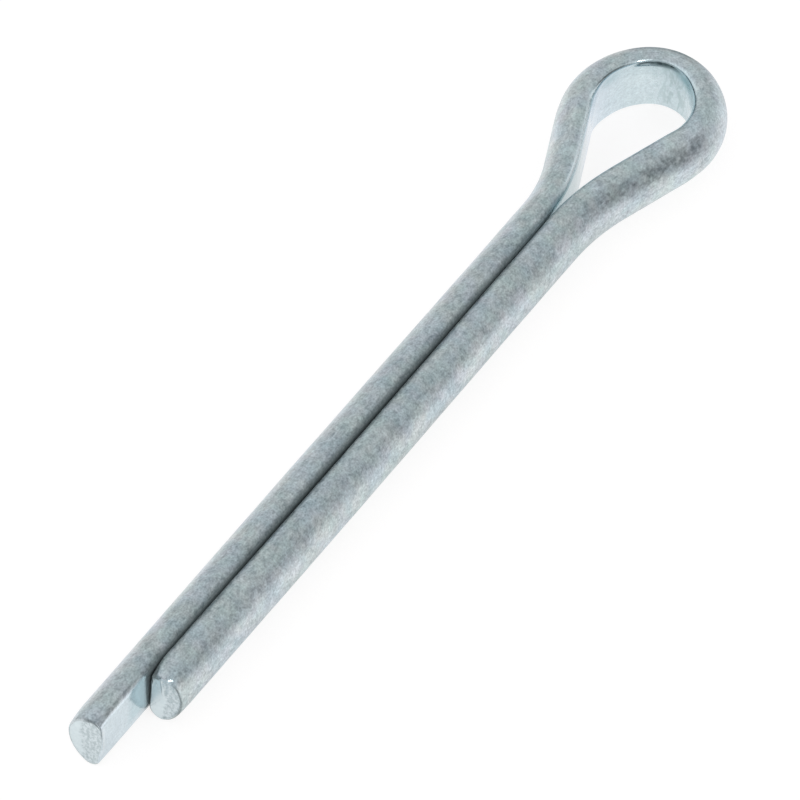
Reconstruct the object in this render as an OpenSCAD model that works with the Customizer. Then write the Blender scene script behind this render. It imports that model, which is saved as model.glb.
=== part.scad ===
// Cotter pin: one length of half-round wire, folded flat face to flat face.
// The two legs lie close together and make a round shank. At the fold the wire
// opens into an eye. One leg reaches past the other, so that a thumb or a pair
// of pliers can part them once the pin is through its hole.
//
// The pin lies down: the plane of the eye is the XY plane. The shank's axis is
// the X axis, with the eye on the +X side and the tips on the -X side. The
// origin is on that axis, where the long leg starts to bend away into the eye.

/* [Shank] */
// Diameter over both legs
shank_d = 4.42; // [4.2:0.01:5]
// Gap between the flat faces of the two legs
leg_gap = 0.09; // [0.05:0.01:0.3]
// Straight length of the long leg
long_leg_len = 46.05; // [25:0.05:80]
// How far the long leg reaches past the short one
prong_len = 4.78; // [1:0.01:8]

/* [Wire] */
// Height across the two pressed sides
wire_height = 4.06; // [3.8:0.02:4.1]
// Radius of the corners between the flat face and the pressed sides
corner_r = 0.73; // [0.3:0.01:0.9]
// How much thinner each side of the wire is where it was bent while free
bend_thinning = 0.03; // [0.02:0.01:0.08]

/* [Neck] */
// Angle at which the long leg leaves the shank
long_neck_angle = 22.75; // [15:0.25:28]
// Radius of the long leg's flat face in its neck
long_neck_r = 12.2; // [8:0.1:15]
// Angle at which the short leg leaves the shank
short_neck_angle = 18.1; // [12:0.1:25]
// Radius of the short leg's flat face in its neck
short_neck_r = 16.7; // [10:0.1:18]

/* [Eye] */
// Straight length of the eye's side on the long leg
long_side_len = 4.15; // [3:0.05:6]
// Radius of the flat face in the shoulder on the long leg's side
long_shoulder_r = 3.74; // [3:0.01:4.2]
// Angle of that shoulder
long_shoulder_angle = 73.65; // [60:0.05:85]
// Radius of the flat face in the crown, the eye's far end
crown_r = 2.15; // [1.8:0.01:2.8]
// Radius of the flat face in the shoulder on the short leg's side
short_shoulder_r = 3.18; // [2.6:0.01:3.6]
// Angle of that shoulder
short_shoulder_angle = 79.1; // [65:0.1:85]

/* [Tips] */
// How far the cutter rolled the upper edge of each tip down
tip_roll_drop = 0.42; // [0.3:0.01:0.8]
// Radius of the rolled edge
tip_roll_r = 0.95; // [0.9:0.01:1.5]

/* [Hidden] */

// Zinc with a blue passivation
ZINC = [0.70, 0.74, 0.76];

// Facets of a full circle, in small and in large rounds
FINE = 96;
COARSE = 240;
// How far a cutting shape reaches past what it cuts
OVER = 1;
// How far a thinned bend reaches into the full wire at each of its ends
LAP = 0.2;

shank_r = shank_d / 2;
// Distance of each flat face from the shank's axis
half_gap = leg_gap / 2;
half_height = wire_height / 2;

// Slope of the rolled edge where it leaves the upper side
ROLL_START_SLOPE = 12;
roll_centre_z = half_height - tip_roll_r * cos(ROLL_START_SLOPE);
roll_end_rise = half_height - tip_roll_drop - roll_centre_z;
// The rolled edge's centre, behind the tip's face
roll_centre_x = sqrt(pow(tip_roll_r, 2) - pow(roll_end_rise, 2));

// The line of the flat face, seen from above, as a chain of straights and bends.
// A station is [x, y, heading]. The chain starts at the long leg's tip.
long_tip = [-long_leg_len, half_gap, 0];
long_neck_start = [0, half_gap, 0];
long_side_start = turned(long_neck_start, long_neck_r, long_neck_angle);
long_shoulder_start = advanced(long_side_start, long_side_len);
crown_start = turned(long_shoulder_start, long_shoulder_r, -long_shoulder_angle);
// The bends of the whole chain add up to half a turn to the right
crown_angle = 180 + long_neck_angle + short_neck_angle
            - long_shoulder_angle - short_shoulder_angle;
short_shoulder_start = turned(crown_start, crown_r, -crown_angle);
short_side_start = turned(short_shoulder_start, short_shoulder_r, -short_shoulder_angle);
// The eye's side on the short leg is as long as it takes for that leg's neck to
// end on its own side of the gap
short_neck_rise = short_neck_r * (1 - cos(short_neck_angle));
short_side_len = (-short_side_start.y - half_gap - short_neck_rise) / sin(short_neck_angle);
short_neck_start = advanced(short_side_start, short_side_len);
short_leg_start = turned(short_neck_start, short_neck_r, short_neck_angle);
short_leg_len = short_leg_start.x + long_leg_len - prong_len;

// The direction at an angle, as a unit vector
function unit(angle) = [cos(angle), sin(angle)];

// The station a length further on, straight ahead
function advanced(at, len) = [at.x + len * cos(at.z), at.y + len * sin(at.z), at.z];

// The station at the end of a bend of radius r; a positive angle bends left
function turned(at, r, angle) =
    let (side = sign(angle), out = at.z + angle)
    [
        at.x + side * r * (sin(out) - sin(at.z)),
        at.y - side * r * (cos(out) - cos(at.z)),
        out
    ];

// The wire's section, smaller by an inset all round: a flat face on the y axis,
// rounded corners, pressed sides, and a back that is round about the shank's own
// axis. x runs outward from the flat face, y runs up.
module wire_section(inset = 0) {
    corner_y = half_height - corner_r;
    intersection() {
        translate([-half_gap, 0])
            circle(r = shank_r - inset, $fn = FINE);
        union() {
            for (side = [1, -1])
                translate([corner_r, side * corner_y])
                    circle(r = corner_r - inset, $fn = FINE);
            translate([inset, -corner_y])
                square([shank_d, 2 * corner_y]);
            translate([corner_r, inset - half_height])
                square([shank_d, 2 * (half_height - inset)]);
        }
    }
}

// A straight length of wire from a station, along its heading
module straight(at, len) {
    translate([at.x, at.y, 0])
        rotate([90, 0, at.z + 90])
            linear_extrude(height = len)
                wire_section();
}

// A bend from a station. To the right the wire folds round its flat face; to the
// left the flat face is on the outside. A thinned bend laps into its neighbours.
module bend(at, r, angle, inset = 0) {
    side = sign(angle);
    centre = [at.x, at.y] + side * r * unit(at.z + 90);
    lap_angle = inset > 0 ? LAP / r * 180 / PI : 0;
    first = side > 0 ? at.z - 90 : at.z + 90 + angle;
    translate([centre.x, centre.y, 0])
        rotate_extrude(
            angle = abs(angle) + 2 * lap_angle,
            start = first - lap_angle,
            $fn = COARSE
        )
            translate([r, 0])
                if (side > 0)
                    mirror([1, 0])
                        wire_section(inset);
                else
                    wire_section(inset);
}

// What the cutter rolled off the upper edge of a tip that ends at x
module tip_roll(x) {
    difference() {
        translate([x - OVER, -shank_d, roll_centre_z])
            cube([roll_centre_x + OVER, 2 * shank_d, shank_d]);
        translate([x + roll_centre_x, 0, roll_centre_z])
            rotate([90, 0, 0])
                cylinder(h = 4 * shank_d, r = tip_roll_r, center = true, $fn = FINE);
    }
}

// The whole pin, from the long leg's tip round the eye to the short leg's tip.
// Legs, sides and crown keep the full section; necks and shoulders are thinned.
module pin() {
    color(ZINC) {
        difference() {
            straight(long_tip, long_leg_len);
            tip_roll(-long_leg_len);
        }
        bend(long_neck_start, long_neck_r, long_neck_angle, bend_thinning);
        straight(long_side_start, long_side_len);
        bend(long_shoulder_start, long_shoulder_r, -long_shoulder_angle, bend_thinning);
        bend(crown_start, crown_r, -crown_angle);
        bend(short_shoulder_start, short_shoulder_r, -short_shoulder_angle, bend_thinning);
        straight(short_side_start, short_side_len);
        bend(short_neck_start, short_neck_r, short_neck_angle, bend_thinning);
        difference() {
            straight(short_leg_start, short_leg_len);
            tip_roll(prong_len - long_leg_len);
        }
    }
}

pin();
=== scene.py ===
"""Cotter pin: the looks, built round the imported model.

Lengths are in millimetres until a mesh is made, which is in metres. The row frame's
X axis is the shank's axis, with the eye on +X; Z is up and the long leg is on +Y.
"""
import math

import bpy
import numpy as np
from mathutils import Matrix, Vector


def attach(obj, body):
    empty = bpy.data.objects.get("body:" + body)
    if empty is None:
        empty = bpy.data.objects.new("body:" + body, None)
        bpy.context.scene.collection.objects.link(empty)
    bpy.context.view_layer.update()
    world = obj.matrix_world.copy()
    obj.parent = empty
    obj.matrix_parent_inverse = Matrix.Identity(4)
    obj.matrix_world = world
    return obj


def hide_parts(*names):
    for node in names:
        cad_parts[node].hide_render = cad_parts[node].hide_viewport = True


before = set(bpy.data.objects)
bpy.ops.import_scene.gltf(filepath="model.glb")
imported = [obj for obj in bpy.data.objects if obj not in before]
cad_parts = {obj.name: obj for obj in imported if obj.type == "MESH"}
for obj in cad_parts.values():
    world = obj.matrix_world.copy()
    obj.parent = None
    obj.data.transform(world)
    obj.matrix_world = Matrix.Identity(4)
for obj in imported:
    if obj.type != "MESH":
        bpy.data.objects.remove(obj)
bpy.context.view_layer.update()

MM = 0.001

# ---------------------------------------------------------------- the wire

SHANK_R = 2.21
HALF_GAP = 0.045
HALF_HEIGHT = 2.03
CORNER_R = 0.73
# The crown's fold squeezes the inner corners sharper
CROWN_CORNER_R = 0.30
# Softens the edge between a pressed side and the round back
EDGE_R = 0.35
LONG_LEG = 46.05
PRONG = 4.78
LONG_NECK = (12.2, 22.75)
LONG_SIDE = 4.15
LONG_SHOULDER = (3.74, -73.65)
CROWN_R = 2.15
SHORT_SHOULDER = (3.18, -79.1)
SHORT_NECK = (16.7, 18.1)

# Over this length a straight passes into a bend
EASE = 1.0
# How much a bend thins the wire on each side, and the curvature at which it does so
THINNING = 0.034
THIN_CURVE = 0.25
# How far the legs' backs spring apart at the middle and close at the tips
BOW = 0.020
# Over what share of a leg, from the neck, the bow sets in
BOW_RISE = 0.2
# The legs' flats press together: how much fuller than a half round each leg is, and
# how far the long leg pushes over the middle where it is fullest
FULLER = 0.026
LEAN = 0.062
# How high the skin's long low waves stand, and how long they are
WAVE_HEIGHT = 0.006
WAVE_SIZE = 1.9
# Points along the flat's line, and round half a section: flat, corner, edge and back
LINE_POINTS = 24001
FLAT_POINTS, CORNER_POINTS, EDGE_POINTS, BACK_POINTS = 22, 17, 9, 34


def chain_lengths():
    """(length, turn in degrees) of each straight and bend, from the long leg's tip.

    A bend's length is its radius times its turn. The turns add up to half a turn to
    the right. The last side is as long as it takes for the short leg to lie on its
    own side of the gap: what is left of y over the sine of its slope.
    """
    crown_turn = -180 - sum(b[1] for b in (LONG_NECK, LONG_SHOULDER, SHORT_SHOULDER, SHORT_NECK))
    bends = (LONG_NECK, LONG_SHOULDER, (CROWN_R, crown_turn), SHORT_SHOULDER, SHORT_NECK)
    arcs = [(r * abs(math.radians(turn)), turn) for r, turn in bends]
    x, y, heading = 0.0, HALF_GAP, 0.0
    for length, turn in (arcs[0], (LONG_SIDE, 0), arcs[1], arcs[2], arcs[3]):
        half = math.radians(turn) / 2
        chord = length if turn == 0 else length * math.sin(half) / half
        middle = math.radians(heading) + half
        x, y, heading = x + chord * math.cos(middle), y + chord * math.sin(middle), heading + turn
    slope, radius = math.radians(SHORT_NECK[1]), SHORT_NECK[0]
    short_side = (-y - HALF_GAP - radius * (1 - math.cos(slope))) / math.sin(slope)
    x += -short_side * math.cos(slope) - radius * math.sin(slope)
    short_leg = x + LONG_LEG - PRONG
    return [(LONG_LEG, 0), arcs[0], (LONG_SIDE, 0), arcs[1], arcs[2], arcs[3],
            (short_side, 0), arcs[4], (short_leg, 0)]


CHAIN = chain_lengths()
WIRE_LENGTH = sum(length for length, turn in CHAIN)
CROWN_MIDDLE = sum(length for length, turn in CHAIN[:4]) + CHAIN[4][0] / 2


def smooth(t):
    """0 below 0, 1 above 1, and t * t * (3 - 2 * t) between."""
    t = np.clip(t, 0, 1)
    return t * t * (3 - 2 * t)


def fade(value, start, length):
    """Rises smoothly from 0 at start to 1 a length further; a negative length runs back."""
    return smooth((value - start) / length)


def lobe(off, reach):
    """A raised cosine: 1 where off is 0, falling to 0 at a reach to either side."""
    return 0.5 + 0.5 * np.cos(np.pi * np.clip(np.abs(off) / reach, 0, 1))


def bell(off, width):
    """A bell curve: 1 where off is 0, and exp(-1) at a width to either side."""
    return np.exp(-(off / width) ** 2)


def flat_line(s):
    """Where the flat face runs, seen from above, at distances s along the wire.

    The heading is the sum of each bend's turn times an eased ramp over its length: a
    straight ramp averaged over EASE. The place is the running sum of the heading's
    cosine and sine, and what the easing leaves over at the end is taken out evenly
    over the eye. Each leg bows outward by BOW times the cosine of a whole turn.
    """
    def ramp(x):
        inside = np.clip(x + EASE / 2, 0, EASE)
        return inside ** 2 / (2 * EASE) + np.maximum(x - EASE / 2, 0)

    fine = np.linspace(0, WIRE_LENGTH, LINE_POINTS)
    heading = np.zeros_like(fine)
    start = 0.0
    for length, turn in CHAIN:
        if turn:
            rate = math.radians(turn) / length
            heading += rate * (ramp(fine - start) - ramp(fine - start - length))
        start += length
    curve = np.gradient(heading, fine)
    step = np.diff(fine)

    def running(values, first):
        return first + np.concatenate([[0], np.cumsum((values[1:] + values[:-1]) / 2 * step)])

    x = running(np.cos(heading), -LONG_LEG)
    y = running(np.sin(heading), HALF_GAP)
    share = np.clip((fine - LONG_LEG) / (WIRE_LENGTH - LONG_LEG - CHAIN[-1][0]), 0, 1)
    y -= (y[-1] + HALF_GAP) * share
    x -= (x[-1] + LONG_LEG - PRONG) * share
    leg = np.where(fine < WIRE_LENGTH / 2, 1, -1)
    down_leg = np.clip(-x / LONG_LEG, 0, 1)
    y += leg * BOW * np.cos(2 * np.pi * (down_leg - 0.5)) * smooth(down_leg / BOW_RISE)
    return [np.interp(s, fine, values) for values in (x, y, heading, curve)]


def arc(centre, radius, start, end, count):
    """Points centre + radius * (cos a, sin a), with a from start to end in degrees."""
    a = np.radians(np.linspace(start, end, count))
    return np.stack([centre[0] + radius * np.cos(a), centre[1] + radius * np.sin(a)], 1)


def wire_section(corner):
    """The wire's outline as (outward, up) points, closed, for one corner radius.

    It goes up the flat face, round a corner, along the pressed side, over a softened
    edge, down the round back about the shank's axis, and home the same way. The
    softened edge touches the back circle from inside and the pressed side's line:
    its centre is EDGE_R below that line and SHANK_R - EDGE_R from the axis.
    """
    rise = HALF_HEIGHT - EDGE_R
    reach = math.sqrt((SHANK_R - EDGE_R) ** 2 - rise ** 2) - HALF_GAP
    lean = math.degrees(math.atan2(rise, reach + HALF_GAP))
    low = HALF_HEIGHT - corner
    flat = low * np.sin(np.linspace(0, np.pi / 2, FLAT_POINTS))[:-1]
    upper = [
        np.stack([np.zeros_like(flat), flat], 1),
        arc((corner, low), corner, 180, 90, CORNER_POINTS),
        arc((reach, rise), EDGE_R, 90, lean, EDGE_POINTS)[:-1],
        arc((-HALF_GAP, 0), SHANK_R, lean, 0, BACK_POINTS),
    ]
    half = np.concatenate(upper)
    lower = half[-2:0:-1] * (1, -1)
    return np.concatenate([half, lower])


def outward(outline):
    """Unit normals of a closed outline: its central differences turned a quarter."""
    along = np.roll(outline, -1, 0) - np.roll(outline, 1, 0)
    normal = np.stack([-along[:, 1], along[:, 0]], 1)
    return normal / np.linalg.norm(normal, axis=1, keepdims=True)


NOISE_VALUES = 4096
NOISE_STRIDES = (73, 1109, 2749)


def lumps(place, size, seed):
    """Smooth noise from -1 to 1: random values on a cubic grid of that size, blended
    between the eight nearest with the weight t * t * (3 - 2 * t) on each axis."""
    table = np.random.default_rng(seed).uniform(-1, 1, NOISE_VALUES)
    cell = np.floor(place / size).astype(int)
    t = smooth(place / size - cell)
    total = np.zeros(place.shape[:-1])
    for corner in np.ndindex(2, 2, 2):
        key = (cell + corner) @ np.array(NOISE_STRIDES)
        weight = np.prod(np.where(corner, t, 1 - t), axis=-1)
        total += weight * table[key % NOISE_VALUES]
    return total


def lumpy(place, layers):
    """The sum of lumps, each layer given as (height, size, seed)."""
    return sum(height * lumps(place, size, seed) for height, size, seed in layers)


# -------------------------------------------------------------- sheared tips

# Round each tip's face: (angle about the section's middle, how far the blade drew
# the skin in there). The flat is at 180 degrees and the upper side at 90. Below
# zero is a burr, which stands out.
LONG_TIP = ((-165, -0.19), (-125, 0.03), (-60, 0.05), (0, 0.10), (55, 0.20), (80, 0.33),
            (94, 0.38), (105, 0.27), (114, 0.12), (126, -0.14), (145, -0.20), (195, -0.19))
SHORT_TIP = ((-165, 0.11), (-120, 0.04), (-80, 0.04), (-50, 0.09), (-10, 0.03), (20, -0.06),
             (60, -0.10), (75, 0.16), (85, 0.40), (94, 0.50), (117, 0.52), (128, 0.22),
             (145, 0.14), (195, 0.11))
# How far the section's middle is from its flat
MIDDLE = 0.95
# Over what length the skin is drawn in, and how much of that is a tight last edge
ROLL_LEN = 1.5
EDGE_LEN = 0.16
EDGE_SHARE = 0.30
BURR_LEN = 0.6
RIM_R = 0.07

# Where a painted dark line of shade runs round the rim, by the drawn-over skin: (angle, how dark)
LONG_RIM_SHADE = ((-165, 0), (-60, 0.2), (60, 0.1), (82, 0), (98, 0.9), (135, 0.8),
            (155, 0.2), (195, 0))
SHORT_RIM_SHADE = ((-165, 0), (-70, 0.2), (-20, 0.8), (45, 0.9), (64, 0.7), (70, 0), (95, 0),
             (104, 0.8), (128, 0.7), (140, 0.1), (195, 0))
RIM_SHADE_WIDTH = 0.075


def between(angle, knots):
    """Blends smoothly from knot to knot of (angle, value), at angles in degrees."""
    at, value = np.array(knots).T
    i = np.clip(np.searchsorted(at, angle) - 1, 0, len(at) - 2)
    t = smooth((angle - at[i]) / (at[i + 1] - at[i]))
    return value[i] * (1 - t) + value[i + 1] * t


def turned(outline):
    """The angle of outline points about the section's middle, -165 to 195 degrees."""
    angle = np.degrees(np.arctan2(outline[..., 1], outline[..., 0] - MIDDLE))
    return np.where(angle < -165, angle + 360, angle)


def quarter(d, length):
    """A quarter circle's drop: 1 at d = 0, falling to 0 at d = length."""
    u = np.clip(1 - d / length, 0, 1)
    return 1 - np.sqrt(1 - u ** 2)


def sheared(outline, tip, leg):
    """How far the blade drew the skin in, for outlines at distances tip from a face.

    The depth round the face, times a parabola over ROLL_LEN and a quarter circle
    over EDGE_LEN where it was drawn in, or a parabola over BURR_LEN where it stands
    out, and a small quarter circle at the rim everywhere.
    """
    depth = between(turned(outline), LONG_TIP if leg > 0 else SHORT_TIP)
    slow = np.clip(1 - tip / ROLL_LEN, 0, 1) ** 2
    drawn = slow * (1 - EDGE_SHARE) + quarter(tip, EDGE_LEN) * EDGE_SHARE
    burr = np.clip(1 - tip / BURR_LEN, 0, 1) ** 2
    return np.where(depth > 0, depth * drawn, depth * burr) + RIM_R * quarter(tip, RIM_R)


# Small dents: place on the skin (x, y, z), radius, depth
DENTS = (
    ((-20.77, -1.13, 1.90), 0.10, 0.025),
    ((-25.63, 1.25, 1.82), 0.22, 0.030),
    ((-12.3, -1.62, 1.50), 0.16, 0.015),
    ((-33.1, 0.95, 1.99), 0.14, 0.018),
    ((6.2, -3.55, 1.62), 0.18, 0.020),
)
# How far either side of a dent the wire is cut finer
DENT_REACH = 0.3


def dented(points):
    """How far each point is pressed in: each dent's depth times a bell of its radius."""
    total = np.zeros(points.shape[:-1])
    for place, radius, depth in DENTS:
        away = np.linalg.norm(points - np.array(place), axis=-1)
        total += depth * bell(away, radius)
    return total


def stations():
    """Distances along the wire at which it is cut: fine at both tips, where they are
    spaced as the sine of an even angle, in the eye and at each dent, and wider along
    the legs."""
    on_long = [LONG_LEG + place[0] for place, radius, depth in DENTS if place[0] < 0 < place[1]]
    on_short = [WIRE_LENGTH - LONG_LEG + PRONG - place[0]
                for place, radius, depth in DENTS if place[0] < 0 and place[1] < 0]
    near_dent = np.linspace(-DENT_REACH, DENT_REACH, 9)
    ends = np.concatenate([
        length * (1 - np.sin(np.linspace(0, np.pi / 2, count)))
        for length, count in ((ROLL_LEN, 24), (EDGE_LEN, 9), (RIM_R, 7))])
    eye_start, eye_end = LONG_LEG - 2, WIRE_LENGTH - CHAIN[-1][0] + 2
    lip_start, lip_end = CROWN_MIDDLE - 5, CROWN_MIDDLE + 5
    stretches = [np.linspace(start, end, count) for start, end, count in (
        (ROLL_LEN, eye_start, 76),
        (eye_start, lip_start, 62),
        (lip_start, lip_end, 130),
        (lip_end, eye_end, 66),
        (eye_end, WIRE_LENGTH - ROLL_LEN, 68),
    )]
    dents = np.add.outer(on_long + on_short, near_dent).ravel()
    return np.unique(np.round(np.concatenate([ends, WIRE_LENGTH - ends, *stretches, dents]), 3))


# Along the wire: where the inner corners turn sharp and back, and over what length
SHARP_FROM, SHARP_RISE = 55.0, 2.5
SHARP_TO, SHARP_FALL = 65.33, 4.2
# Along the wire: the folded lip in the crown, and how deep and wide its crease is
LIP_MIDDLE = 60.4
LIP_REACH = 1.8
CREASE_DEPTH = 0.20
CREASE_WIDTH = 0.10
# How far under the corner's lower edge the crease runs
CREASE_DROP = 0.06
# What makes it come and go along the wire: an even part, and lumps of height, size, seed
CREASE_EVEN = 0.85
CREASE_LUMPS = ((0.35, 0.55, 5), (0.20, 0.2, 6))
# How wide the crease's dark line of painted shade is, and how many times the crease's own depth
DARK_WIDTH = 0.14
DARK_LEVEL = 1.9
# Places that rubbed bright, on the lip and on the short tip: place, radius
BRIGHT = (
    ((12.49, 2.10, 1.89), 0.36),
    ((-41.06, -1.26, 1.73), 0.25),
)
# A nick in the short tip's rim: its place, the way its floor faces, its reach
NICK = (-40.97, -1.22, 1.74)
NICK_FACES = (-0.49, -0.53, 0.69)
NICK_REACH = 0.68


def crease(s, up, tight, width):
    """How deep the folded-in line is that belongs along the crown's upper inner edge.

    A bell of that width across, centred a little below where the corner starts, times
    a lobe along the wire, times broken lumps that make it come and go. It goes by
    height and not by side, so the crown's outer back gets the same line. That one is
    a known fault, and a fade by facing would take it away.
    """
    line = HALF_HEIGHT - CORNER_R * (1 - tight) - CROWN_CORNER_R * tight - CREASE_DROP
    along = 1.1 * lobe(s - LIP_MIDDLE, LIP_REACH)
    place = np.stack(np.broadcast_arrays(s, 0.3, 0.7), -1)
    broken = CREASE_EVEN + lumpy(place, CREASE_LUMPS)
    return CREASE_DEPTH * bell(up - line, width) * along * np.clip(broken, 0.1, 1.2)


def swept_wire():
    """The wire's skin as a grid of points, stations by outline.

    Point = flat line + outward * left normal + up * Z. The corner's radius shrinks in
    the crown by blending two outlines with equal counts. Each point then moves in
    along its own normal by a bend's thinning, the crease, the tips' shear, the dents
    and a long low waviness, less what the pressed flats are fuller by. The nick's
    plane cuts what stands over it, fading out to its reach.
    """
    s = stations()
    x, y, heading, curve = flat_line(s)
    left = np.stack([-np.sin(heading), np.cos(heading)], 1)
    full, sharp = wire_section(CORNER_R), wire_section(CROWN_CORNER_R)
    tight = (fade(s, SHARP_FROM, SHARP_RISE) * fade(s, SHARP_TO, -SHARP_FALL))[:, None]
    outline = full * (1 - tight[..., None]) + sharp * tight[..., None]
    normal = outward(full) * (1 - tight[..., None]) + outward(sharp) * tight[..., None]
    normal /= np.linalg.norm(normal, axis=-1, keepdims=True)

    def placed(outline):
        points = np.empty(outline.shape[:2] + (3,))
        points[..., :2] = np.stack([x, y], 1)[:, None] + outline[..., :1] * left[:, None]
        points[..., 2] = outline[..., 1]
        return points

    inward = THINNING * smooth(np.abs(curve) / THIN_CURVE)[:, None]
    leg = np.where(s < CROWN_MIDDLE, 1, -1)
    fuller = fade(x, 0.5, -2.5) * (FULLER + leg * LEAN * fade(x, -43, 22))
    inward = inward - fuller[:, None] * smooth(-normal[..., 0])
    inward = inward + crease(s[:, None], outline[..., 1], tight, CREASE_WIDTH)
    inward = inward + dented(placed(outline))
    inward = inward + WAVE_HEIGHT * (1 + lumps(placed(outline), WAVE_SIZE, 3)) * smooth(
        np.minimum(s, WIRE_LENGTH - s) / 2)[:, None]
    half = int(np.searchsorted(s, CROWN_MIDDLE))
    inward[:half] += sheared(outline[:half], s[:half, None], 1)
    inward[half:] += sheared(outline[half:], WIRE_LENGTH - s[half:, None], -1)
    outline = outline - normal * inward[..., None]
    skin = placed(outline)
    off = skin - np.array(NICK)
    over = np.maximum(off @ np.array(NICK_FACES), 0)
    near = smooth(1.5 * lobe(np.linalg.norm(off, axis=-1), NICK_REACH))
    skin -= (over * near)[..., None] * np.array(NICK_FACES)
    return s, skin, outline, normal, tight


CAP_RINGS = 44
# Across each tip: the fracture line's place, by leg, its two waves (height, radians a
# millimetre) and its width. Leg 1 is the long one and -1 the short one.
FRACTURE = {1: 1.25, -1: -0.98}
FRACTURE_WAVES = ((0.09, 2.3), (0.05, 6.1))
FRACTURE_WIDTH = 0.14
# How deep the torn part sinks, and its lumps: height, size, seed
TORN_DEPTH = 0.050
TORN_LUMPS = ((0.016, 0.52, 11), (0.018, 0.26, 12), (0.016, 0.14, 13))
# The whole face's one slow wave: its height, and radians a millimetre across and up
FACE_WAVE = 0.008
WAVE_TURNS = (2.2, 1.3)
# How far in from the rim the face's relief is full
RELIEF_SETS_IN = 0.15


def cut_face(rim, leg):
    """A sheared end: the rim's ring shrunk towards its middle, ring by ring.

    Ring k is middle + (1 - k / CAP_RINGS) * (rim - middle). The face is smooth where
    the blade burnished it and torn past the fracture line, where it sinks a little
    and is rough: x moves in by the torn share times a depth plus noise.
    """
    middle = rim.mean(0)
    share = 1 - np.arange(1, CAP_RINGS + 1) / CAP_RINGS
    rings = middle + share[:, None, None] * (rim - middle)[None]
    torn = torn_share(rings[..., 1], rings[..., 2], leg)
    inner = smooth(np.linalg.norm((rings - rim)[..., 1:], axis=-1) / RELIEF_SETS_IN)
    relief = TORN_DEPTH + lumpy(rings, TORN_LUMPS)
    wave = FACE_WAVE * (1 + np.sin(rings[..., 1:] @ np.array(WAVE_TURNS)))
    rings[..., 0] += inner * (torn * relief + wave)
    return rings, torn


def torn_share(y, z, leg):
    """1 on the torn part of a sheared face and 0 on its burnished part: a smooth step
    across a wavy line at a set distance from the side that the blade came from."""
    (high, slow), (low, quick) = FRACTURE_WAVES
    line = FRACTURE[leg] + high * np.sin(slow * z + leg) + low * np.sin(quick * z)
    return smooth(0.5 - (y - line) / FRACTURE_WIDTH)


# Where the marks on the skin lie, as (start, length) for fade(): along X, up, along the
# wire, and by facing, which is 1 on a flat, 0 on a pressed side and -1 on a back.
FLAT_FACING = (0.85, 0.12)
EYE_FLAT_FACING, EYE_FLAT_X = (0.45, 0.40), (0, 3)
EDGE_X, EDGE_WIRE = (0.8, 1.5), (56.5, -2.5)
NOOK_FROM, NOOK_TO = (0.3, 1.5), (8.2, -5)
# Where the short tip's painted reflection lies on the long leg's flat: along X, along X, up
TIP_REFLECTION_FROM, TIP_REFLECTION_TO, TIP_REFLECTION_UP = (-43.4, 0.6), (-39, -1.5), (-1.2, 0.5)
LILAC_TIP_X = (-40.5, -1.5)
SHADE_BAND_FACING = (0.45, 0.45)
LIGHTER_FACING, LIGHTER_X, LIGHTER_UP = (-0.35, -0.40), (3, -5), (-0.1, 0.9)
# Facings of the painted shade deep between the legs and on its lips
CREVICE_FACING, SEAM_SHADE_FACING = (0.66, 0.26), (-0.1, 0.8)
# The legs lie together from just past the short tip to the neck: fully on the tips'
# side of CLOSER, and for LOOSE_SHARE on the neck's side
CLOSED_FROM, CLOSED_TO = (PRONG - LONG_LEG - 0.6, 0.8), (0.9, -1.5)
CLOSER, LOOSE_SHARE = (-1, -5), 0.4
# The facing of the edge's painted light, and how far to either side it goes
EDGE_FACING, EDGE_BAND = 0.83, 0.16
# Along the wire: bands of painted shade (middle, reach, how dark), wrinkles and the eye's lilac
SHADE_BANDS = ((CROWN_MIDDLE, 6, 0.15), (57.2, 1.3, 0.32), (62.5, 1.5, 0.72))
WRINKLES, WRINKLES_REACH = 61.5, 2.2
LILAC, LILAC_REACH = 54.5, 5
LILAC_TIP_SHARE = 0.35
# How high up the flat the bands of painted shade sit, and how wide they are
SHADE_BAND_UP, SHADE_BAND_WIDTH = 1.38, 0.40


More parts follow.
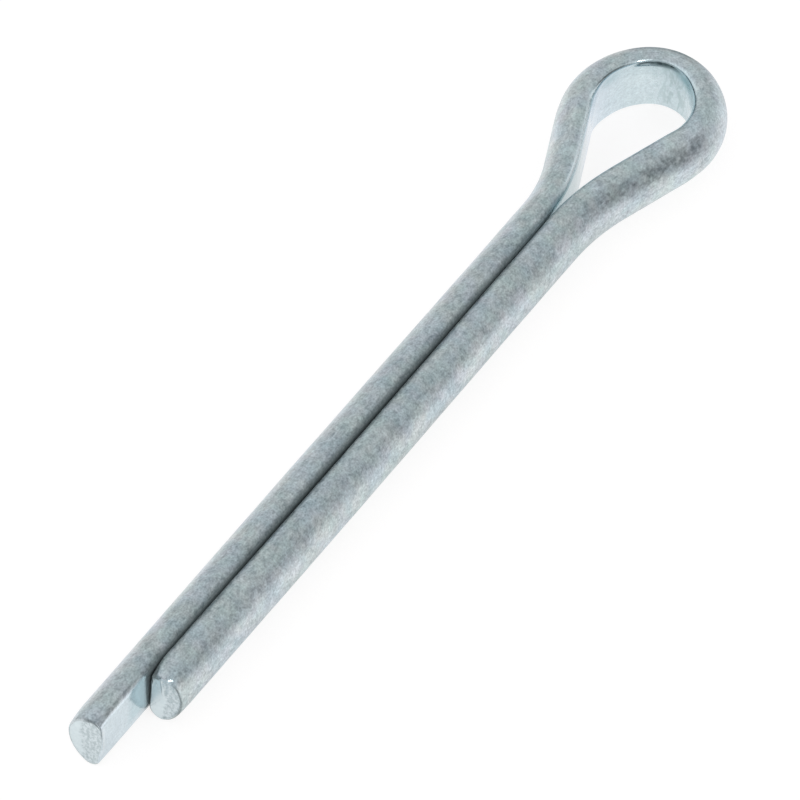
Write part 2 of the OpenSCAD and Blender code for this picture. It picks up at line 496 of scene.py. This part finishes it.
def skin_marks(s, skin, outline, normal, tight):
    """What each point of the skin is marked with, from 0 to 1, by name.

    flat: the pressed-together faces, and the corners beside them in the eye.
    edge: the eye's long side along its corners, lightened with painted light.
    creased and wrinkled: the lip's dark line, painted shade in its crease, and the folds under
    it, with painted shade along them.
    rubbed: the bright places, outside that line.
    dulled: bands of painted teal shade under the lip. lilac: the tinge of the flat in the eye and
    at the tip.
    stained: a painted reflection of the short tip on the long leg's bare flat beside it.
    nook: painted shade where the legs part. crevice: matte zinc deep between the legs, with
    painted shade. sheltered: painted shade on its lips.
    worn: the short leg's outer side, made a little lighter.

    Each is a product of fades over the spans above, or a bell round a place.
    """
    facing, up = -normal[..., 0], outline[..., 1]
    ring, x = s[:, None], skin[:, :1, 0]
    on_short = ring > CROWN_MIDDLE
    wall = fade(facing, *FLAT_FACING)
    painted_crease_shade = np.minimum(
        DARK_LEVEL * crease(ring, up, tight, DARK_WIDTH) / CREASE_DEPTH, 1)
    bands = sum(dull * lobe(ring - middle, reach) for middle, reach, dull in SHADE_BANDS)
    closed = fade(x, *CLOSED_FROM) * fade(x, *CLOSED_TO)
    closed = closed * (LOOSE_SHARE + (1 - LOOSE_SHARE) * fade(x, *CLOSER))
    bright = sum(bell(np.linalg.norm(skin - np.array(place), axis=-1), radius)
                 for place, radius in BRIGHT)
    return {
        "flat": np.maximum(wall, fade(facing, *EYE_FLAT_FACING) * fade(x, *EYE_FLAT_X)),
        "edge": lobe(facing - EDGE_FACING, EDGE_BAND) * fade(x, *EDGE_X) * fade(ring, *EDGE_WIRE),
        "painted_crease_shade": painted_crease_shade,
        "wrinkled": lobe(ring - WRINKLES, WRINKLES_REACH) * wall,
        "rubbed": (1 - painted_crease_shade) * bright,
        "painted_lip_shade": bands * bell(up - SHADE_BAND_UP, SHADE_BAND_WIDTH) * fade(facing, *SHADE_BAND_FACING),
        "lilac": wall * (lobe(ring - LILAC, LILAC_REACH)
                         + LILAC_TIP_SHARE * fade(x, *LILAC_TIP_X)),
        "painted_tip_reflection": wall * ~on_short * fade(x, *TIP_REFLECTION_FROM) * fade(x, *TIP_REFLECTION_TO)
                   * fade(up, *TIP_REFLECTION_UP),
        "nook": wall * fade(x, *NOOK_FROM) * fade(x, *NOOK_TO),
        "crevice_matte_and_shade": fade(facing, *CREVICE_FACING) * closed,
        "painted_seam_shade": fade(facing, *SEAM_SHADE_FACING) * closed,
        "outer_side_lighter": fade(facing, *LIGHTER_FACING) * fade(x, *LIGHTER_X) * fade(up, *LIGHTER_UP) * on_short,
    }


# The UV map: the skin takes this much of its height, and the cut faces lie above it,
# each round its own middle and all at one scale
SKIN_V = 0.9
CAP_MIDDLE = {1: (0.1, 0.95), -1: (0.5, 0.95)}
CAP_SCALE = (0.01, 0.02)


def cells(grid):
    """The four corners of each cell of a grid, in order round it."""
    return np.stack([grid[:-1, :-1], grid[1:, :-1], grid[1:, 1:], grid[:-1, 1:]], 2)


def closed_quads(index):
    """Quads over a grid of point numbers whose last column meets its first."""
    return cells(np.concatenate([index, index[:, :1]], 1)).reshape(-1, 4)


def new_piece(name, points, faces):
    """A smooth-shaded mesh object at the origin, from points in millimetres."""
    mesh = bpy.data.meshes.new(name)
    mesh.from_pydata((points * MM).tolist(), [], faces)
    mesh.polygons.foreach_set("use_smooth", np.ones(len(mesh.polygons), bool))
    mesh.update()
    piece = bpy.data.objects.new(name, mesh)
    bpy.context.scene.collection.objects.link(piece)
    return piece


def end_faces(ring, first, leg):
    """The faces of a cut end: quads from the skin's end ring inwards, ring by ring, then
    a fan of triangles on the middle point. Its own points are numbered from first."""
    around = len(ring)
    inner = first + np.arange((CAP_RINGS - 1) * around).reshape(-1, around)
    quads = closed_quads(np.concatenate([ring[None], inner]))[:, [0, 3, 2, 1]]
    last = inner[-1]
    fan = np.stack([last, np.roll(last, -1), np.full(around, first + inner.size)], 1)
    return (quads, fan) if leg > 0 else (quads[:, ::-1], fan[:, ::-1])


def build_pin():
    """One closed mesh: the swept skin and a cut face on each end.

    The skin's quads join neighbours along and around; each cut face joins its rings
    to the skin's end ring and closes on a point in its middle. The UV map holds the
    distance along and around the wire, each over its whole length, and what marks
    the surface is kept as attributes.
    """
    s, skin, outline, normal, tight = swept_wire()
    index = np.arange(skin[..., 0].size).reshape(skin.shape[:2])
    section = outline[len(s) // 2]
    girth = np.linalg.norm(np.diff(section, axis=0, append=section[:1]), axis=1)
    girth = np.concatenate([[0], np.cumsum(girth)])
    u, v = np.meshgrid(s / WIRE_LENGTH, SKIN_V * girth / girth[-1], indexing="ij")
    # The painted dark line of shade round each tip's rim
    rim_shades = {1: between(turned(outline[0]), LONG_RIM_SHADE), -1: between(turned(outline[-1]), SHORT_RIM_SHADE)}
    rim = np.where((s < CROWN_MIDDLE)[:, None], rim_shades[1], rim_shades[-1])
    rim = rim * bell(np.minimum(s, WIRE_LENGTH - s)[:, None], RIM_SHADE_WIDTH)

    points, faces = skin.reshape(-1, 3), [closed_quads(index)]
    uv = [cells(np.stack([u, v], -1)).reshape(-1, 2)]
    torn_all, rim_all = [np.zeros(index.size)], [rim.ravel()]
    for leg, ring in ((1, index[0]), (-1, index[-1])):
        edge = points[ring]
        rings, torn = cut_face(edge, leg)
        away = np.linalg.norm((rings - edge)[..., 1:], axis=-1)
        both = end_faces(ring, len(points), leg)
        points = np.concatenate([points, rings[:-1].reshape(-1, 3), [rings[-1].mean(0)]])
        torn_all.append(np.append(torn[:-1], torn[-1].mean()))
        rim_all.append(np.append((rim_shades[leg] * bell(away, RIM_SHADE_WIDTH))[:-1], 0))
        faces += both
        uv += [np.array(CAP_MIDDLE[leg]) + points[block.ravel(), 1:] * CAP_SCALE
               for block in both]

    pin = new_piece("cotter_pin", points, [face for block in faces for face in block.tolist()])
    mesh = pin.data
    mesh.polygons.foreach_set("material_index", np.concatenate(
        [np.full(len(block), min(number, 1)) for number, block in enumerate(faces)]))
    layer = mesh.uv_layers.new(name="wire")
    layer.data.foreach_set("uv", np.concatenate(uv).astype(np.float32).ravel())
    marks = {"torn": np.concatenate(torn_all), "rim": np.concatenate(rim_all)}
    for name, values in skin_marks(s, skin, outline, normal, tight).items():
        marks[name] = np.zeros(len(points))
        marks[name][:index.size] = values.ravel()
    for name, values in marks.items():
        mesh.attributes.new(name, "FLOAT", "POINT").data.foreach_set(
            "value", values.astype(np.float32))
    mesh.validate()
    mesh.update()
    return pin


# --------------------------------------------------------------- materials

class Signal:
    """A shader socket that can be written in a sum: + - * and / add Math nodes."""

    def __init__(self, finish, socket):
        self.finish, self.socket = finish, socket

    def _math(self, operation, *values):
        return self.finish.node("ShaderNodeMath", {"operation": operation}, list(values))

    def __add__(self, other):
        return self._math("ADD", self, other)

    def __sub__(self, other):
        return self._math("SUBTRACT", self, other)

    def __rsub__(self, other):
        return self._math("SUBTRACT", other, self)

    def __mul__(self, other):
        return self._math("MULTIPLY", self, other)

    def __truediv__(self, other):
        return self._math("DIVIDE", self, other)

    def __rtruediv__(self, other):
        return self._math("DIVIDE", other, self)

    __radd__ = __add__
    __rmul__ = __mul__

    def magnitude(self):
        return self._math("ABSOLUTE", self)

    def clamped(self):
        return self.finish.node(
            "ShaderNodeClamp", {}, {"Value": self, "Min": 0.0, "Max": 1.0})

    def step(self, low, high):
        """0 below low, 1 above high, smooth between."""
        return self.finish.node(
            "ShaderNodeMapRange", {"interpolation_type": "SMOOTHSTEP"},
            {"Value": self, "From Min": low, "From Max": high})


class Finish:
    """One material, or the world, whose nodes are added one by one."""

    def __init__(self, name, holder=None):
        self.holder = holder or bpy.data.materials.new(name)
        self.holder.use_nodes = True
        self.tree = self.holder.node_tree
        self.tree.nodes.clear()

    def node(self, kind, settings=None, inputs=None, output=0):
        """Adds a node: its settings first, then the values or links of its sockets, by
        name or in order. Returns one output."""
        made = self.tree.nodes.new(kind)
        for key, value in (settings or {}).items():
            setattr(made, key, value)
        pairs = inputs.items() if isinstance(inputs, dict) else enumerate(inputs or [])
        for key, value in pairs:
            socket = made.inputs[key]
            if isinstance(value, Signal):
                self.tree.links.new(value.socket, socket)
            else:
                socket.default_value = (*value, 1) if socket.type == "RGBA" else value
        return Signal(self, made.outputs[output]) if made.outputs else None

    def noise(self, place, scale, detail=2.0, roughness=0.5, distortion=0.0):
        return self.node("ShaderNodeTexNoise", {"noise_dimensions": "3D"}, {
            "Vector": place, "Scale": scale, "Detail": detail,
            "Roughness": roughness, "Distortion": distortion})

    def stretched(self, unrolled, along, across):
        """A place on the unrolled wire, times a factor each way."""
        return self.node("ShaderNodeVectorMath", {"operation": "MULTIPLY"},
                         [unrolled, (along, across, 1)])

    def attribute(self, name):
        return self.node("ShaderNodeAttribute", {"attribute_name": name}, output=2)

    def mix(self, share, first, second):
        """Colours mixed by a share: a Mix node's inputs 0, 6 and 7, and its output 2."""
        return self.node("ShaderNodeMix", {"data_type": "RGBA"},
                         {0: share, 6: first, 7: second}, output=2)

    def shaded(self, tint, *parts):
        """A colour times 1 plus each level times its own (red, green, blue) share."""
        total = (1.0, 1.0, 1.0)
        for level, share in parts:
            part = self.node("ShaderNodeVectorMath", {"operation": "SCALE"},
                             {"Vector": share, "Scale": level})
            total = self.node("ShaderNodeVectorMath", {"operation": "ADD"}, [total, part])
        return self.node("ShaderNodeVectorMath", {"operation": "MULTIPLY"}, [tint, total])

    def surface(self, **sockets):
        """The Principled shader with these sockets, put out as the surface."""
        shader = self.node("ShaderNodeBsdfPrincipled", {}, {
            key.replace("_", " "): value for key, value in sockets.items()})
        self.node("ShaderNodeOutputMaterial", {}, {"Surface": shader})


# Noise scales: how many features a metre, about
SPECK, GRAIN, MOTTLE, BLOTCH = 9000, 4300, 1900, 800
HUE, TINGE, DRIFT = 1050, 640, 110
TORN_SPECK, TORN_GRAIN = 9000, 4200
# Stretched noise on the unrolled wire: along, across
DRAWN_LINES = (26, 190)
FOLD_LINES = (300, 9)

# The zinc's two tinges, each in two hues, and the colour that it slowly drifts to
GREEN_ZINC = ((0.486, 0.573, 0.574), (0.518, 0.571, 0.575))
BLUE_ZINC = ((0.486, 0.573, 0.610), (0.518, 0.571, 0.612))
LILAC_ZINC = (0.497, 0.572, 0.606)
# What the marks tint it with: the zinc's own tinges, and painted shade, light and reflection
FLAT_ZINC = (0.660, 0.765, 0.800)
# Painted light along the eye's long side, by its inner corners
EDGE_LIGHT = (0.960, 0.985, 0.995)
FLAT_LILAC = (0.665, 0.742, 0.845)
# A painted reflection of the short tip, on the long leg's bare flat
TIP_REFLECTION = (0.500, 0.660, 0.710)
# Painted shade where the legs part, on the flats by the crotch
NOOK_SHADE = (0.230, 0.330, 0.350)
# Painted teal shade in bands under the lip
TEAL_SHADE = (0.185, 0.370, 0.407)
# Painted shade in the lip's crease
CREASE_SHADE = (0.044, 0.074, 0.085)
# A painted dark line of shade round each tip's rim
RIM_SHADE = (0.148, 0.178, 0.185)
# Painted shade deep between the legs, where the zinc also turns matte
CREVICE_SHADE = (0.244, 0.285, 0.293)
# Painted shade along the wrinkles' folds
WRINKLE_SHADE = (0.330, 0.450, 0.450)
# The cut faces, each from its darkest to its lightest
BURNISHED = ((0.660, 0.748, 0.778), (0.710, 0.796, 0.822))
TORN = ((0.500, 0.578, 0.600), (0.740, 0.810, 0.838))
# How much of the fine and the slow mottling reaches red, green and blue
FINE_SHARES = (0.64, 0.62, 0.60)
SLOW_SHARES = (0.72, 0.62, 0.57)
# How much of its mottling and relief a flat has lost, and a rubbed place of its relief
FLAT_CALM = 0.65
RUBBED_CALM = 0.3
# How deep the relief of each finish is, in metres
ZINC_RELIEF = 0.000016
TORN_RELIEF = 0.00003


def zinc_wire():
    """Blue-white zinc on drawn wire: a cool grey that goes a little green, blue and lilac by
    turns, mottled at four sizes, with faint drawing lines along it. The marks on the skin then
    tint it in turn, from the pale flats to the painted shade between the legs; several marks
    paint shade and light rather than the zinc's own colour."""
    f = Finish("zinc_wire")
    place = f.node("ShaderNodeTexCoord", output=3)
    place_x = f.node("ShaderNodeSeparateXYZ", {}, [place], output=0)
    unrolled = f.node("ShaderNodeUVMap", {"uv_map": "wire"})
    (flat, edge, painted_crease_shade, wrinkled, rubbed, painted_lip_shade, lilac, painted_tip_reflection, nook, crevice_matte_and_shade, painted_seam_shade,
     outer_side_lighter, rim) = (f.attribute(name) for name in (
         "flat", "edge", "painted_crease_shade", "wrinkled", "rubbed", "painted_lip_shade", "lilac", "painted_tip_reflection", "nook",
         "crevice_matte_and_shade", "painted_seam_shade", "outer_side_lighter", "rim"))
    speck = f.noise(place, SPECK, 0.0) - 0.5
    grain = f.noise(place, GRAIN, 1.0, 0.5) - 0.5
    mottle = f.noise(place, MOTTLE, 1.0, 0.5) - 0.5
    blotch = f.noise(place, BLOTCH, 0.0) - 0.5
    hue = f.noise(place, HUE, 1.0, 0.5).step(0.32, 0.68)
    tinge = f.noise(place, TINGE, 1.0, 0.6).step(0.32, 0.68)
    drift = f.noise(place, DRIFT, 1.0, 0.5).step(0.45, 0.70)
    drawn = f.noise(f.stretched(unrolled, *DRAWN_LINES), 1.0, 1.0, 0.5) - 0.5
    folds = f.noise(f.stretched(unrolled, *FOLD_LINES), 1.0, 1.0, 0.6, 1.2)
    fold = folds.step(0.45, 0.62) * wrinkled

    tint = f.mix(tinge, f.mix(hue, *GREEN_ZINC), f.mix(hue, *BLUE_ZINC))
    for mark, share, colour in (
        (drift, 0.25, LILAC_ZINC),
        (flat, 0.85, FLAT_ZINC),
        (edge, 0.95, EDGE_LIGHT),
        (lilac, 0.7, FLAT_LILAC),
        (painted_tip_reflection, 0.6, TIP_REFLECTION),
        (nook, 0.34, NOOK_SHADE),
        (painted_lip_shade, 0.9, TEAL_SHADE),
        (painted_crease_shade, 0.9, CREASE_SHADE),
        (rim, 0.8, RIM_SHADE),
        (crevice_matte_and_shade, 1.0, CREVICE_SHADE),
    ):
        tint = f.mix(mark * share, tint, colour)
    kept = 1 - FLAT_CALM * flat
    fine = (speck * 0.90 + grain * 1.15) * kept
    slow = (mottle * 0.68 + blotch * 0.42 + drawn * 0.40) * kept
    # The eye's end is a little lighter than the tips' end. Painted shade darkens the legs'
    # corners by the seam, and the short leg's outer side is a little lighter
    level = place_x.step(-0.005, 0.007) * 0.06 - painted_seam_shade * 0.10 + outer_side_lighter * 0.07 - 0.030
    tone = f.shaded(tint, (fine, FINE_SHARES), (slow, SLOW_SHARES), (level, (1.0, 1.0, 1.0)))
    # The wrinkles' folds get painted shade along their lines
    tone = f.mix(fold * 0.42, tone, WRINKLE_SHADE)
    rough = (0.41 + 0.15 * mottle + 0.25 * grain + 0.10 * drawn
             - 0.25 * flat * (1 - wrinkled) - 0.28 * rubbed + 0.30 * edge + 0.30 * painted_crease_shade)
    height = speck * 0.5 + grain * 1.5 + mottle * 0.65 + drawn * 0.3 - fold * 1.6
    bump = f.node("ShaderNodeBump", {}, {
        "Strength": 0.5, "Distance": ZINC_RELIEF,
        "Height": height * (1 - FLAT_CALM * flat - RUBBED_CALM * rubbed)})
    f.surface(Base_Color=tone, Metallic=1 - 0.9 * crevice_matte_and_shade, Roughness=rough.clamped(), Normal=bump)
    return f.holder


def cut_end():
    """The sheared faces: smooth and pale where burnished, speckled grey where torn."""
    f = Finish("zinc_cut_end")
    place = f.node("ShaderNodeTexCoord", output=3)
    torn, rim = f.attribute("torn"), f.attribute("rim")
    speck = f.noise(place, TORN_SPECK, 1.0, 0.5)
    grain = f.noise(place, TORN_GRAIN, 2.0, 0.6)
    burnished = f.mix(grain.step(0.3, 0.7), *BURNISHED)
    speckled = grain.step(0.40, 0.60) * 0.7 + speck.step(0.35, 0.65) * 0.3
    tone = f.mix(torn, burnished, f.mix(speckled, *TORN))
    # A painted dark line of shade round the face's rim
    tone = f.mix(rim * 0.8, tone, RIM_SHADE)
    rough = 0.34 + 0.16 * torn + 0.20 * (grain - 0.5)
    bump = f.node("ShaderNodeBump", {}, {
        "Strength": 0.5, "Distance": TORN_RELIEF,
        "Height": (grain + speck * 0.3) * (0.12 + 0.60 * torn)})
    f.surface(Base_Color=tone, Metallic=1.0, Roughness=rough.clamped(), Normal=bump)
    return f.holder


# ------------------------------------------------------------------- stage

FLOOR_RADIUS = 1500
WALL_HEIGHT = 220
WALL_BEND = 120
PAPER = (0.31, 0.31, 0.31)
# The colour it shines with, and what the metal mirrors of it away from the pin
PLAIN_WHITE, WARM_WHITE = (1.0, 0.985, 0.98), (1.02, 0.968, 0.972)
# How brightly the paper shines to the camera, and how many times that to the metal
FLOOR_LIFT = 0.80
MIRRORED = 1.28


def build_floor(level):
    """A round white floor whose edge sweeps up into a low wall.

    A profile of radius and height is turned about Z: flat to the bend, then a quarter
    circle, then straight up. It is plain white to the camera. What the metal mirrors of
    it is darker in places, as if dark cards and the dark of the room stood round it.
    """
    a = np.radians(np.linspace(0, 90, 13))
    flat_to = FLOOR_RADIUS - WALL_BEND
    radius = np.concatenate([[20, 60, 200, 600, flat_to],
                             flat_to + WALL_BEND * np.sin(a[1:]), [FLOOR_RADIUS]])
    height = np.concatenate([np.zeros(5), WALL_BEND * (1 - np.cos(a[1:])), [WALL_HEIGHT]])
    turn = np.radians(np.arange(0, 360, 5))
    points = np.stack([
        radius[:, None] * np.cos(turn),
        radius[:, None] * np.sin(turn),
        np.broadcast_to(height[:, None] + level, (len(radius), len(turn))),
    ], -1).reshape(-1, 3)
    index = np.arange(len(points)).reshape(len(radius), len(turn))
    floor = new_piece("floor", points, closed_quads(index).tolist() + [index[0].tolist()])
    floor.data.materials.append(white_floor())


def white_floor():
    """White paper. What the metal mirrors of it is dimmed in places, given in metres."""
    f = Finish("white_floor")
    camera, glossy, passed = (
        f.node("ShaderNodeLightPath", output=name)
        for name in ("Is Camera Ray", "Is Glossy Ray", "Is Transmission Ray"))
    place = f.node("ShaderNodeTexCoord", output=3)
    x, y, z = (f.node("ShaderNodeSeparateXYZ", {}, [place], output=i) for i in range(3))
    front, aside = 0 - y, y.magnitude()
    # A wedge in front of the eye
    slant = ((x - 0.012) / front - 0.10).magnitude()
    wedge = (1 - slant.step(0.25, 0.56)) * front.step(0.009, 0.020)
    # Before and behind the legs, less so from the neck on
    before = (0.20 - 0.13 * x.step(-0.015, 0.0)) * front.step(0.012, 0.035)
    behind = (0.42 - 0.22 * x.step(-0.010, 0.005)) * y.step(0.009, 0.022)
    # Past the crown, but for a bright strip that runs back beside the long leg's side
    strip = (y - 1.55 * (x - 0.012)).step(0.001, 0.006) * (1 - y.step(0.020, 0.035))
    past = x.step(0.014, 0.024) * (y + 0.004).step(0.0, 0.006) * (1 - strip)
    # A painted shadow under and close beside the pin, in what the metal mirrors, a little more so
    # at the long tip
    under = (1 - aside.step(0.0025, 0.0045)) * (0.25 + 0.05 * (0 - x).step(0.0435, 0.0445))
    # The low wall is dim, but for two lit stretches far past the eye, one to each side
    lit = x.step(0.5, 0.9) * aside.step(0.40, 0.75)
    wall = z.step(0.0, 0.06) * (1 - lit)
    shade = 1 + 0.2 * lit
    for dimmed in (0.85 * wedge, before, 0.13 * front.step(0.001, 0.008), behind,
                   0.45 * past, under, 0.5 * wall):
        shade = shade * (1 - dimmed)
    seen = camera + glossy * shade * MIRRORED + passed
    warm = f.mix(glossy * aside.step(0.003, 0.009), PLAIN_WHITE, WARM_WHITE)
    paper = f.node("ShaderNodeBsdfDiffuse", {}, {"Color": PAPER})
    lift = f.node("ShaderNodeEmission", {}, {"Color": warm, "Strength": seen * FLOOR_LIFT})
    both = f.node("ShaderNodeAddShader", {}, [paper, lift])
    f.node("ShaderNodeOutputMaterial", {}, {"Surface": both})
    return f.holder


ROOM_COLOUR = (0.98, 1.01, 1.025)
ROOM_LEVEL = 0.730
# Soft darks and lights in the room: azimuth, elevation, the cosine of the angle from
# there at which it starts and at which it is full, and how much it adds
ROOM_PATCHES = (
    (-79, 12, 0.80, 0.95, -0.54),
    (118, 25, 0.48, 0.95, 0.27),
    (-40, 0, 0.88, 0.995, 0.30),
    (-114, 26, 0.86, 0.98, 0.16),
    (5, -4, 0.88, 0.99, -0.24),
)
# The one lamp, in degrees, metres and watts
LAMP_AZIMUTH, LAMP_RISE, LAMP_AWAY = -120, 36, 0.8
LAMP_SIZE, LAMP_POWER = 0.18, 0.61


def light_the_room():
    """An even grey room with soft dark and light patches, and one soft round lamp."""
    world = bpy.data.worlds.new("room")
    bpy.context.scene.world = world
    f = Finish("room", world)
    direction = f.node("ShaderNodeTexCoord", output=0)
    strength = ROOM_LEVEL
    for azimuth, elevation, start, full, amount in ROOM_PATCHES:
        toward = f.node("ShaderNodeVectorMath", {"operation": "DOT_PRODUCT"},
                        [direction, tuple(heading(azimuth, elevation))], output=1)
        strength = strength + amount * toward.step(start, full)
    back = f.node("ShaderNodeBackground", {}, {"Color": ROOM_COLOUR, "Strength": strength})
    f.node("ShaderNodeOutputWorld", {}, {"Surface": back})

    aim = heading(LAMP_AZIMUTH, LAMP_RISE)
    data = bpy.data.lights.new("key", "AREA")
    data.shape = "DISK"
    data.size = LAMP_SIZE
    data.energy = LAMP_POWER
    lamp = bpy.data.objects.new("key", data)
    lamp.location = aim * LAMP_AWAY
    lamp.rotation_mode = "QUATERNION"
    lamp.rotation_quaternion = aim.to_track_quat("Z", "Y")
    bpy.context.scene.collection.objects.link(lamp)


def heading(azimuth, elevation):
    """The unit vector (cos a cos e, sin a cos e, sin e)."""
    a, e = math.radians(azimuth), math.radians(elevation)
    return Vector((math.cos(a) * math.cos(e), math.sin(a) * math.cos(e), math.sin(e)))


CAMERA_TURN = 58.564
CAMERA_RISE = 49.628
CAMERA_ROLL = 2.402
CAMERA_DISTANCE = 512.05
LENS = 405.08
# What it looks at, and how far up and left of that the view's middle is
AIM = (-15.772, 0.063, 0)
AIM_SHIFT = 0.0284


def place_camera():
    """A long lens above the tips, on the short leg's side, rolled a little.

    right = (cos a, -sin a, 0) and up = (sin a sin e, cos a sin e, cos e) before the
    roll, and the camera sits back along their cross product.
    """
    a, e, roll = (math.radians(v) for v in (CAMERA_TURN, CAMERA_RISE, CAMERA_ROLL))
    right = Vector((math.cos(a), -math.sin(a), 0))
    up = Vector((math.sin(a) * math.sin(e), math.cos(a) * math.sin(e), math.cos(e)))
    right, up = (right * math.cos(roll) + up * math.sin(roll),
                 up * math.cos(roll) - right * math.sin(roll))
    back = right.cross(up)
    middle = Vector(AIM) + (up - right) * AIM_SHIFT
    camera = bpy.data.cameras.new("camera")
    camera.sensor_width = 36
    camera.lens = LENS
    camera.clip_start, camera.clip_end = 0.01, 10
    holder = bpy.data.objects.new("camera", camera)
    facing = Matrix((right, up, back)).transposed().to_4x4()
    holder.matrix_world = Matrix.Translation((middle + back * CAMERA_DISTANCE) * MM) @ facing
    bpy.context.scene.collection.objects.link(holder)
    bpy.context.scene.camera = holder


place_camera()
pin = build_pin()
pin.data.materials.append(zinc_wire())
pin.data.materials.append(cut_end())
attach(pin, "root")
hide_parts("pin")
build_floor(-HALF_HEIGHT)
light_the_room()

scene = bpy.context.scene
scene.view_settings.view_transform = "Standard"
